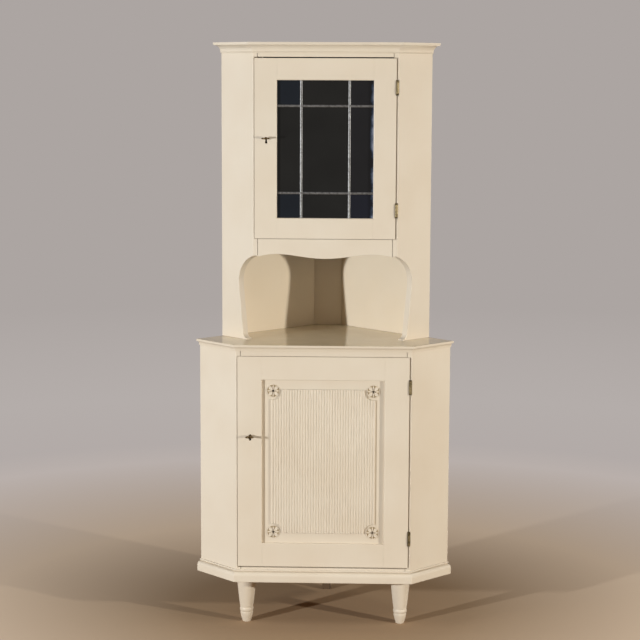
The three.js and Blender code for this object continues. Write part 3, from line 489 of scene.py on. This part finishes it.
def turned(profile, sides):
    """A form turned on a lathe: a profile of (radius, height) points, drawn and spun round the Z axis."""
    bpy.ops.mesh.primitive_plane_add(size=MM)
    piece = bpy.context.object
    bpy.ops.object.mode_set(mode="EDIT")
    bpy.ops.mesh.select_mode(type="VERT")
    bpy.ops.mesh.merge(type="CENTER")
    bpy.ops.transform.translate(value=(profile[0][0], 0, profile[0][1]))
    for (radius, height), (next_radius, next_height) in zip(profile, profile[1:]):
        step = (next_radius - radius, 0, next_height - height)
        bpy.ops.mesh.extrude_region_move(TRANSFORM_OT_translate={"value": step})
    bpy.ops.mesh.select_all(action="SELECT")
    bpy.ops.mesh.spin(steps=sides, angle=math.tau, center=(0, 0, 0), axis=(0, 0, 1))
    bpy.ops.mesh.select_all(action="SELECT")
    bpy.ops.mesh.remove_doubles(threshold=LATHE_WELD)
    bpy.ops.mesh.normals_make_consistent(inside=False)
    bpy.ops.object.mode_set(mode="OBJECT")
    return piece


def arc(centre, radii, start, end, steps):
    """Points of (radius, height) on an elliptical arc, between two angles in degrees."""
    turns = [math.radians(start + (end - start) * i / steps) for i in range(steps + 1)]
    return [(centre[0] + radii[0] * math.cos(t), centre[1] + radii[1] * math.sin(t)) for t in turns]


def bar(low, high):
    """A straight block between two corners."""
    middle = [(a + b) / 2 for a, b in zip(low, high)]
    bpy.ops.mesh.primitive_cube_add(size=1, location=middle, scale=[b - a for a, b in zip(low, high)])
    bpy.ops.object.transform_apply(location=True, rotation=True, scale=True)
    return bpy.context.object


def rod(width, thickness, length):
    """An upright rod with an oval section."""
    bpy.ops.mesh.primitive_cylinder_add(vertices=40, radius=width / 2, depth=length)
    bpy.ops.object.mode_set(mode="EDIT")
    bpy.ops.transform.resize(value=(1, thickness / width, 1))
    bpy.ops.object.mode_set(mode="OBJECT")
    return bpy.context.object


def placed(piece, place, turn=(0, 0, 0)):
    """Turns a piece about the origin, by degrees round X, Y and Z, and carries it to its place."""
    only(piece)
    piece.rotation_euler = [math.radians(angle) for angle in turn]
    piece.location = place
    bpy.ops.object.transform_apply(location=True, rotation=True, scale=True)
    return piece


def repeated(piece, place, turn=(0, 0, 0)):
    """A second copy of a piece, put somewhere else."""
    twin = bpy.data.objects.new(piece.name, piece.data.copy())
    bpy.context.scene.collection.objects.link(twin)
    return placed(twin, place, turn)


def copies(piece, places, turn=(0, 0, 0)):
    """A copy of a piece at each place, in its stead."""
    twins = [repeated(piece, place, turn) for place in places]
    bpy.data.objects.remove(piece)
    return twins


def carved(piece, tool, operation="DIFFERENCE"):
    """Cuts the tool out of the piece, or keeps only what both share, and clears the tool away."""
    worked(piece, "BOOLEAN", operation=operation, object=tool, solver="EXACT")
    bpy.data.objects.remove(tool)
    return piece


def board_copy(node):
    """A copy of a board, its loose triangles merged into whole faces."""
    piece = bpy.data.objects.new(node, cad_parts[node].data.copy())
    bpy.context.scene.collection.objects.link(piece)
    only(piece)
    bpy.ops.object.mode_set(mode="EDIT")
    bpy.ops.mesh.select_all(action="SELECT")
    bpy.ops.mesh.remove_doubles(threshold=WELD)
    bpy.ops.mesh.dissolve_limited(angle_limit=math.radians(FLAT_ANGLE))
    bpy.ops.object.mode_set(mode="OBJECT")
    return piece


def dressed(node, body, slot, finish, width, segments=2):
    """A board with its sharp edges eased, in place of the plain one."""
    piece = board_copy(node)
    rounded(piece, width, segments)
    return finished(piece, node + "_eased", body, slot, finish, node)


def screw(radius):
    """A slotted countersunk screw head, its face up and a little proud of the origin."""
    proud = 0.12 * MM
    head = turned([(0, -radius * 0.5), (radius, -radius * 0.2), (radius, proud * 0.4), (radius * 0.9, proud),
                   (0, proud * 1.3)], 24)
    slot = bar((-radius * 1.2, -radius * 0.13, -radius * 0.25), (radius * 1.2, radius * 0.13, radius))
    return carved(head, slot)


# Carcass

LOWER_RETURN_EASE = 1.2 * MM
UPPER_RETURN_EASE = 1.6 * MM
RAIL_EASE = 0.9 * MM
PLINTH_EASE = 0.5 * MM
CORNICE_EASE = 0.6 * MM
COUNTERTOP_EASE = 0.7 * MM
BOARD_EASE = 0.6 * MM
LEG_HEIGHT = 154.7 * MM
LEG_FOOT = 51 * MM
LEG_NARROW = 21.6 * MM
LEG_WIDE = 32.8 * MM
LEG_SWELL = 0.85
STUB_HALF = 29 * MM


def carcass():
    for side in ("left", "right"):
        dressed("lower_return_" + side, "carcass", "cream_paint", cream_paint, LOWER_RETURN_EASE, 3)
        dressed("upper_return_" + side, "carcass", "cream_paint", cream_paint, UPPER_RETURN_EASE, 3)
    for node in ("lower_bottom_rail", "lower_top_rail", "upper_top_rail", "apron"):
        dressed(node, "carcass", "cream_paint", cream_paint, RAIL_EASE)
    dressed("plinth_moulding", "carcass", "cream_paint", cream_paint, PLINTH_EASE)
    dressed("cornice", "carcass", "cream_paint", cream_paint, CORNICE_EASE)
    dressed("countertop", "carcass", "top_paint", top_paint, COUNTERTOP_EASE)
    plain = (
        ("raw_pine", raw_pine, ["lower_back_left", "lower_back_right", "lower_rear_board"]),
        ("raw_pine", pine_with_painted_shade, ["rear_leg"]),
        ("raw_pine", level_pine, ["lower_bottom_board", "lower_shelf", "upper_top_board"]),
        ("niche_paint", niche_paint, ["upper_back_left", "upper_back_right", "upper_rear_board"]),
        ("inside_paint", inside_paint, ["upper_bottom_board", "upper_shelf"]),
        ("cream_paint", cream_paint, ["lower_lock_stile", "upper_lock_stile"]),
    )
    for slot, finish, nodes in plain:
        for node in nodes:
            dressed(node, "carcass", slot, finish, BOARD_EASE)
    for side in ("left", "right"):
        turned_leg(side)


def turned_leg(side):
    """A tapered leg over a bead and a tulip foot, with the square stub that holds it in the carcass."""
    node = "front_leg_" + side
    low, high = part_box(node)
    taper = [(LEG_NARROW + (LEG_WIDE - LEG_NARROW) * share ** LEG_SWELL,
              LEG_FOOT + (LEG_HEIGHT - LEG_FOOT) * share)
             for share in (0, 0.15, 0.35, 0.6, 0.85, 1)]
    profile = [
        (0, 0), (12.6 * MM, 0), (13.5 * MM, 0.8 * MM), (14.6 * MM, 5 * MM), (16.8 * MM, 12 * MM),
        (18.9 * MM, 19.5 * MM), (20.4 * MM, 26.5 * MM), (20.9 * MM, 31 * MM),
        *arc((20.6 * MM, 34 * MM), (0.9 * MM, 1.4 * MM), 270, 90, 5),
        *arc((19.8 * MM, 42.5 * MM), (2.9 * MM, 6.6 * MM), -75, 75, 10),
        *arc((20.9 * MM, 49.9 * MM), (0.7 * MM, 0.8 * MM), 250, 110, 4),
        *taper, (0, LEG_HEIGHT),
    ]
    half = (high[0] - low[0]) / 2
    leg = turned(profile, 72)
    stub = bar((-STUB_HALF, -STUB_HALF, LEG_HEIGHT - MM), (STUB_HALF, STUB_HALF, high[2]))
    leg = joined([leg, stub])
    placed(leg, (low[0] + half, low[1] + half, 0))
    finished(leg, "turned_" + node, "carcass", "cream_paint", cream_paint, node, angle=40)


# Doors

OPENINGS = {"lower": (-199 * MM, 197.5 * MM), "upper": (-155.8 * MM, 154.3 * MM)}
JOINT_CLOSING = 0.297 * MM
JOINT_END = 0.5 * MM
JOINT_REACH = 1.5 * MM
DOOR_EASE = 0.6 * MM
PANEL_BOTTOM = 283.2 * MM
PANEL_TOP = 822.9 * MM
FIELD_LEFT_MARGIN = 28.6 * MM
FIELD_RIGHT_MARGIN = 29 * MM
FIELD_BOTTOM_MARGIN = 33.6 * MM
FIELD_TOP_MARGIN = 31.4 * MM
REEDS = 39
REED_THICKNESS = 6 * MM
REED_GAP = 0.08 * MM
REED_EASE = 0.35 * MM
ROSETTE_INSET = 36.5 * MM
ROSETTE_RADIUS = 21.4 * MM
CORNER_RADIUS = 28.5 * MM
CORNER_DEPTH = 24 * MM
SEAT_RADIUS = 19 * MM
SEAT_DEPTH = 11 * MM
CARVING_EASE = 0.16 * MM


def door_board(prefix, word):
    """A board of a door's frame, eased all round but for its joints, which are closed and painted over."""
    node = f"{prefix}_door_{word}"
    piece = board_copy(node)
    joints = OPENINGS[prefix]
    if word.endswith("rail"):
        for joint, way in zip(joints, (-1, 1)):
            select_faces(piece, lambda centre, normal, joint=joint, way=way: (
                normal.x * way > 0.9 and abs(centre.x - joint) < JOINT_END))
            bpy.ops.transform.translate(value=(way * JOINT_CLOSING, 0, 0))
            bpy.ops.object.mode_set(mode="OBJECT")
    bpy.ops.object.mode_set(mode="EDIT")
    bpy.ops.mesh.select_mode(type="EDGE")
    bpy.ops.mesh.select_all(action="DESELECT")
    bpy.ops.mesh.edges_select_sharp(sharpness=math.radians(SHARP_ANGLE))
    bpy.ops.object.mode_set(mode="OBJECT")
    vertices = piece.data.vertices
    for edge in piece.data.edges:
        ends = [vertices[v].co.x for v in edge.vertices]
        if any(abs(x - joint) < JOINT_REACH for x in ends for joint in joints):
            edge.select = False
    bpy.ops.object.mode_set(mode="EDIT")
    bpy.ops.mesh.bevel(offset=DOOR_EASE, segments=3, affect="EDGES")
    bpy.ops.object.mode_set(mode="OBJECT")
    finished(piece, node + "_eased", prefix + "_door", "cream_paint", cream_paint, node)


def pointed_leaf(length, width, height, rim, hollow):
    """A carved leaf with two points: where two discs overlap, its middle sunk inside a rim, or raised."""
    radius = (length ** 2 + width ** 2) / (4 * width)
    discs = []
    for way in (-1, 1):
        bpy.ops.mesh.primitive_cylinder_add(vertices=72, radius=radius, depth=height,
                                            location=(0, way * (radius - width / 2), height / 2))
        bpy.ops.object.transform_apply(location=True, rotation=True, scale=True)
        discs.append(bpy.context.object)
    leaf = carved(discs[0], discs[1], "INTERSECT")
    select_faces(leaf, lambda centre, normal: normal.z > 0.9)
    bpy.ops.mesh.dissolve_faces()
    for inwards, fall in ((rim, 0), (rim * 0.7, hollow)):
        bpy.ops.mesh.extrude_region_move(TRANSFORM_OT_translate={"value": (0, 0, -fall)})
        bpy.ops.transform.resize(value=(1 - 3 * inwards / length, 1 - 2 * inwards / width, 1))
    bpy.ops.object.mode_set(mode="OBJECT")
    return leaf


def rosette():
    """A round boss: four hollow leaves on the slant, narrow raised sepals between them and a drilled eye."""
    radius = ROSETTE_RADIUS
    ground = -0.8 * MM
    back = -5 * MM
    ring = 0.9 * MM
    eye = 4.1 * MM
    lip = 0.7 * MM
    sepal_reach = 12.3 * MM
    leaf_reach = 12.6 * MM
    disc = turned([
        (eye, back), (eye, 0.5 * MM),
        *arc((eye + lip, 0.5 * MM), (lip, 0.9 * MM), 180, 0, 8),
        (eye + 2 * lip + 0.3 * MM, ground), (radius - 2 * ring - 0.5 * MM, ground),
        *arc((radius - ring, 0), (ring, 0.8 * MM), 180, 0, 10),
        (radius, -0.3 * MM), (radius - MM, back), (eye, back),
    ], 64)
    parts = [disc]
    leaf = pointed_leaf(length=14.4 * MM, width=10.6 * MM, height=2.2 * MM, rim=1.2 * MM, hollow=0.6 * MM)
    sepal = pointed_leaf(length=15 * MM, width=4.6 * MM, height=2.4 * MM, rim=0.7 * MM, hollow=-0.7 * MM)
    for quarter in range(4):
        for part, reach, start in ((sepal, sepal_reach, 0), (leaf, leaf_reach, 45)):
            angle = start + quarter * 90
            way = math.radians(angle)
            spot = (reach * math.cos(way), reach * math.sin(way), ground - 0.3 * MM)
            parts.append(repeated(part, spot, (0, 0, angle)))
    bpy.data.objects.remove(leaf)
    bpy.data.objects.remove(sepal)
    carving = joined(parts)
    rounded(carving, CARVING_EASE, 2, 40)
    return carving


def drills(corners, radius, depth):
    """Round cutters at the corners of the field, as one tool."""
    cutters = []
    for x, z in corners:
        bpy.ops.mesh.primitive_cylinder_add(
            vertices=96, radius=radius, depth=depth, location=(x, PANEL_FACE, z),
            rotation=(math.pi / 2, 0, 0))
        bpy.ops.object.transform_apply(location=True, rotation=True, scale=True)
        cutters.append(bpy.context.object)
    return joined(cutters)


def panel():
    """A sunk board with a raised field of upright reeds and a rosette in each hollow corner of it."""
    low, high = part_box("reeded_panel")
    left, right = OPENINGS["lower"]
    field_left = left + FIELD_LEFT_MARGIN
    field_right = right - FIELD_RIGHT_MARGIN
    field_bottom = PANEL_BOTTOM + FIELD_BOTTOM_MARGIN
    field_top = PANEL_TOP - FIELD_TOP_MARGIN
    corners = [(x, z) for x in (left + ROSETTE_INSET, right - ROSETTE_INSET)
               for z in (PANEL_BOTTOM + ROSETTE_INSET, PANEL_TOP - ROSETTE_INSET)]
    pitch = (field_right - field_left) / REEDS
    reeds = placed(rod(pitch - REED_GAP, REED_THICKNESS, field_top - field_bottom),
                   (field_left + pitch / 2, FIELD_FACE, (field_bottom + field_top) / 2))
    worked(reeds, "ARRAY", count=REEDS, use_relative_offset=False, use_constant_offset=True,
           constant_offset_displace=(pitch, 0, 0))
    carved(reeds, drills(corners, CORNER_RADIUS, CORNER_DEPTH))
    rounded(reeds, REED_EASE, 2, 50)
    step = bar((field_left, FIELD_FACE, field_bottom), (field_right, PANEL_FACE + MM, field_top))
    carved(step, drills(corners, CORNER_RADIUS, CORNER_DEPTH))
    board = carved(bar((low[0], PANEL_FACE, low[2]), high), drills(corners, SEAT_RADIUS, SEAT_DEPTH))
    finished(board, "panel_board", "lower_door", "cream_paint", cream_paint, "reeded_panel")
    finished(joined([reeds, step]), "reeded_field", "lower_door", "cream_paint", reed_paint, "reeded_panel")
    carvings = copies(rosette(), [(x, ROSETTE_FACE, z) for x, z in corners], (90, 0, 0))
    for number, carving in enumerate(carvings, 1):
        finished(carving, f"rosette_{number}", "lower_door", "cream_paint", rosette_paint, "reeded_panel",
                 angle=38)


def doors():
    for prefix in ("lower", "upper"):
        for word in ("lock_stile", "hinge_stile", "bottom_rail", "top_rail"):
            door_board(prefix, word)
    panel()


# Hinges, locks and keys

HINGE_AXES = {"lower": (280 * MM, LOWER_FRONT - 0.4 * MM), "upper": (230 * MM, UPPER_FRONT - 0.4 * MM)}
HINGE_TURN = 45
KNUCKLE_RADIUS = 4.8 * MM
BUTTON_HEIGHT = 5 * MM
KNUCKLE_PLAY = 0.2 * MM
LEAF_THICKNESS = 1.4 * MM
LEAF_ACROSS = (5.3 * MM, 24.2 * MM)
STRAP_ACROSS = (2.4 * MM, 8 * MM)
LEAF_SIDES = {"door": -1.54 * MM, "fixed": 0.7 * MM}
LEAF_SCREW_RADIUS = 2.4 * MM
# Each screw of a leaf: its share of the leaf's height, and how far it is from the hinge line
LEAF_SCREWS = ((0.16, 11 * MM), (0.5, 18 * MM), (0.84, 11 * MM))
KEYHOLES = {"lower": (-237 * MM, 640.2 * MM), "upper": (-190.5 * MM, 1595 * MM)}
BOW_WIDTH = 27 * MM
BOW_LENGTH = 22 * MM
BOW_RING_RADIUS = 10 * MM
BOW_WIRE_RADIUS = 2.3 * MM
BIT_REACH = 9 * MM
BIT_THICKNESS = 2.4 * MM
IRON_EASE = 0.25 * MM
CASE_EASE = 0.7 * MM
BOLT_EASE = 0.5 * MM
CASE_SCREW_RADIUS = 2.6 * MM
CASE_SCREW_INSET = (4.4 * MM, 5 * MM)


def hinge_leaf(prefix, word, kind):
    """One half of a lift-off hinge: a turned knuckle with a button end, a strap and a screwed leaf."""
    node = f"{prefix}_{word}_hinge_{kind}_leaf"
    low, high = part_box(node)
    height = high[2] - low[2]
    middle = height / 2
    radius = KNUCKLE_RADIUS
    groove = radius - 0.3 * MM
    profile = [
        (0, 0), *arc((0, 2 * MM), (3.4 * MM, 2 * MM), -80, 40, 8), (3.1 * MM, 3.5 * MM), (4.1 * MM, 4 * MM),
        (radius, 4.6 * MM), (radius, 7 * MM), (groove, 7.3 * MM), (radius, 7.6 * MM),
        (radius, middle - 0.5 * MM), (groove, middle - KNUCKLE_PLAY), (0, middle - KNUCKLE_PLAY),
    ]
    if kind == "door":
        profile = [(out, height - level) for out, level in profile]
    knuckle = turned(profile, 40)
    left = LEAF_SIDES[kind]
    right = left + LEAF_THICKNESS
    start, end = (middle, height - BUTTON_HEIGHT) if kind == "door" else (BUTTON_HEIGHT, middle)
    plate = bar((left, LEAF_ACROSS[0], 0), (right, LEAF_ACROSS[1], height))
    strap = bar((left, STRAP_ACROSS[0], start + KNUCKLE_PLAY), (right, STRAP_ACROSS[1], end - KNUCKLE_PLAY))
    plate = joined([plate, strap])
    rounded(plate, IRON_EASE, 2, 40)
    face, tilt = (right, 90) if kind == "door" else (left, -90)
    places = [(face, reach, height * share) for share, reach in LEAF_SCREWS]
    screws = copies(screw(LEAF_SCREW_RADIUS), places, (0, tilt, 0))
    leaf = joined([knuckle, plate, *screws])
    axis = HINGE_AXES[prefix]
    placed(leaf, (axis[0], axis[1], low[2]), (0, 0, HINGE_TURN))
    body = prefix + "_door" if kind == "door" else "carcass"
    finished(leaf, f"screwed_{node}", body, "aged_bronze", aged_bronze, node, angle=38)


def key(prefix):
    """A turned shank with a double collar, a level oval bow and a notched bit."""
    node = prefix + "_key"
    low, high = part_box(node)
    front = LOWER_FRONT if prefix == "lower" else UPPER_FRONT
    x, z = KEYHOLES[prefix]
    end = high[1]
    tip = end - front
    neck = front - low[1] - BOW_LENGTH
    shank = turned([
        (0, -tip), (2.2 * MM, -tip), (3.1 * MM, -tip + MM), (3.1 * MM, neck - 10 * MM),
        *arc((3.2 * MM, neck - 8.6 * MM), (1.3 * MM, 1.2 * MM), -80, 80, 6),
        (3.1 * MM, neck - 7 * MM), (3.3 * MM, neck - 6 * MM),
        *arc((3.4 * MM, neck - 4.2 * MM), (1.2 * MM, 1.5 * MM), -80, 80, 6),
        (2.6 * MM, neck - 2.2 * MM), (2.4 * MM, neck), (2.9 * MM, neck + 1.6 * MM),
        (1.6 * MM, neck + 3 * MM), (0, neck + 3.4 * MM),
    ], 32)
    placed(shank, (x, front, z), (90, 0, 0))
    bpy.ops.mesh.primitive_torus_add(
        major_segments=56, minor_segments=16, major_radius=BOW_RING_RADIUS, minor_radius=BOW_WIRE_RADIUS)
    bow = bpy.context.object
    across = 2 * (BOW_RING_RADIUS + BOW_WIRE_RADIUS)
    bow.scale = (BOW_WIDTH / across, BOW_LENGTH / across, 1)
    placed(bow, (x, low[1] + BOW_LENGTH / 2, z))
    bit = bar((x + MM, end - 7.9 * MM, z - BIT_THICKNESS / 2),
              (x + BIT_REACH, end - 0.4 * MM, z + BIT_THICKNESS / 2))
    notch = bar((x + 5 * MM, end - 5 * MM, z - BIT_THICKNESS),
                (x + BIT_REACH + MM, end - 3.4 * MM, z + BIT_THICKNESS))
    carved(bit, notch)
    rounded(bit, IRON_EASE, 2, 40)
    finished(joined([shank, bow, bit]), "turned_" + node, node, "aged_bronze", dark_bronze, node, angle=40)


def lock(prefix):
    """A plain rim lock, held to the stile by four screws, and its bolt."""
    node = prefix + "_lock_case"
    low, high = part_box(node)
    case = board_copy(node)
    rounded(case, CASE_EASE, 3, 40)
    inset, rise = CASE_SCREW_INSET
    places = [(x, high[1] - 0.1 * MM, z) for x in (low[0] + inset, high[0] - inset)
              for z in (low[2] + rise, high[2] - rise)]
    screws = copies(screw(CASE_SCREW_RADIUS), places, (-90, 0, 0))
    finished(joined([case, *screws]), "screwed_" + node, prefix + "_door", "black_iron", black_iron, node)
    dressed(prefix + "_lock_bolt", prefix + "_bolt", "black_iron", black_iron, BOLT_EASE)


# Leaded light

UPRIGHT_CAMES = (-78.3 * MM, 76.8 * MM)
LEVEL_CAMES = (1419 * MM, 1698.3 * MM)
UPRIGHT_WIDTH = 8.6 * MM
LEVEL_WIDTH = 8.4 * MM
CAME_BORDER = 7 * MM
SOLDER_RADIUS = 6.4 * MM


def cames():
    """Rounded lead strips with a blob of solder where they cross, in the lead border round the panes."""
    low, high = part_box("lead_cames")
    centre = [(a + b) / 2 for a, b in zip(low, high)]
    thickness = high[1] - low[1] + MM
    height = high[2] - low[2] - CAME_BORDER
    width = high[0] - low[0] - CAME_BORDER
    inside = bar((low[0] + CAME_BORDER, low[1] - MM, low[2] + CAME_BORDER),
                 (high[0] - CAME_BORDER, high[1] + MM, high[2] - CAME_BORDER))
    parts = [carved(board_copy("lead_cames"), inside)]
    for x in UPRIGHT_CAMES:
        parts.append(placed(rod(UPRIGHT_WIDTH, thickness, height), (x, centre[1], centre[2])))
    for z in LEVEL_CAMES:
        parts.append(placed(rod(LEVEL_WIDTH, thickness - 0.4 * MM, width), (centre[0], centre[1], z),
                            (0, 90, 0)))
    bpy.ops.mesh.primitive_uv_sphere_add(segments=24, ring_count=12, radius=SOLDER_RADIUS)
    solder = bpy.context.object
    bpy.ops.object.mode_set(mode="EDIT")
    bpy.ops.transform.resize(value=(1, 0.62, 0.9))
    bpy.ops.object.mode_set(mode="OBJECT")
    parts += copies(solder, [(x, centre[1], z) for x in UPRIGHT_CAMES for z in LEVEL_CAMES])
    finished(joined(parts), "soldered_cames", "upper_door", "lead", lead, "lead_cames", angle=50)


def panes():
    blue = ("row_1_column_1", "row_3_column_1", "row_3_column_3")
    for name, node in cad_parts.items():
        if name.startswith("pane"):
            at_edge = "column_3" in name
            dull = dark_edge_glass if at_edge else dark_glass
            tinted = blue_edge_glass if at_edge else blue_glass
            node.data.materials.clear()
            node.data.materials.append(tinted if name.endswith(blue) else dull)


studio()
photographer()
carcass()
doors()
for door in ("lower", "upper"):
    for level in ("bottom", "top"):
        for part in ("fixed", "door"):
            hinge_leaf(door, level, part)
    key(door)
    lock(door)
cames()
panes()
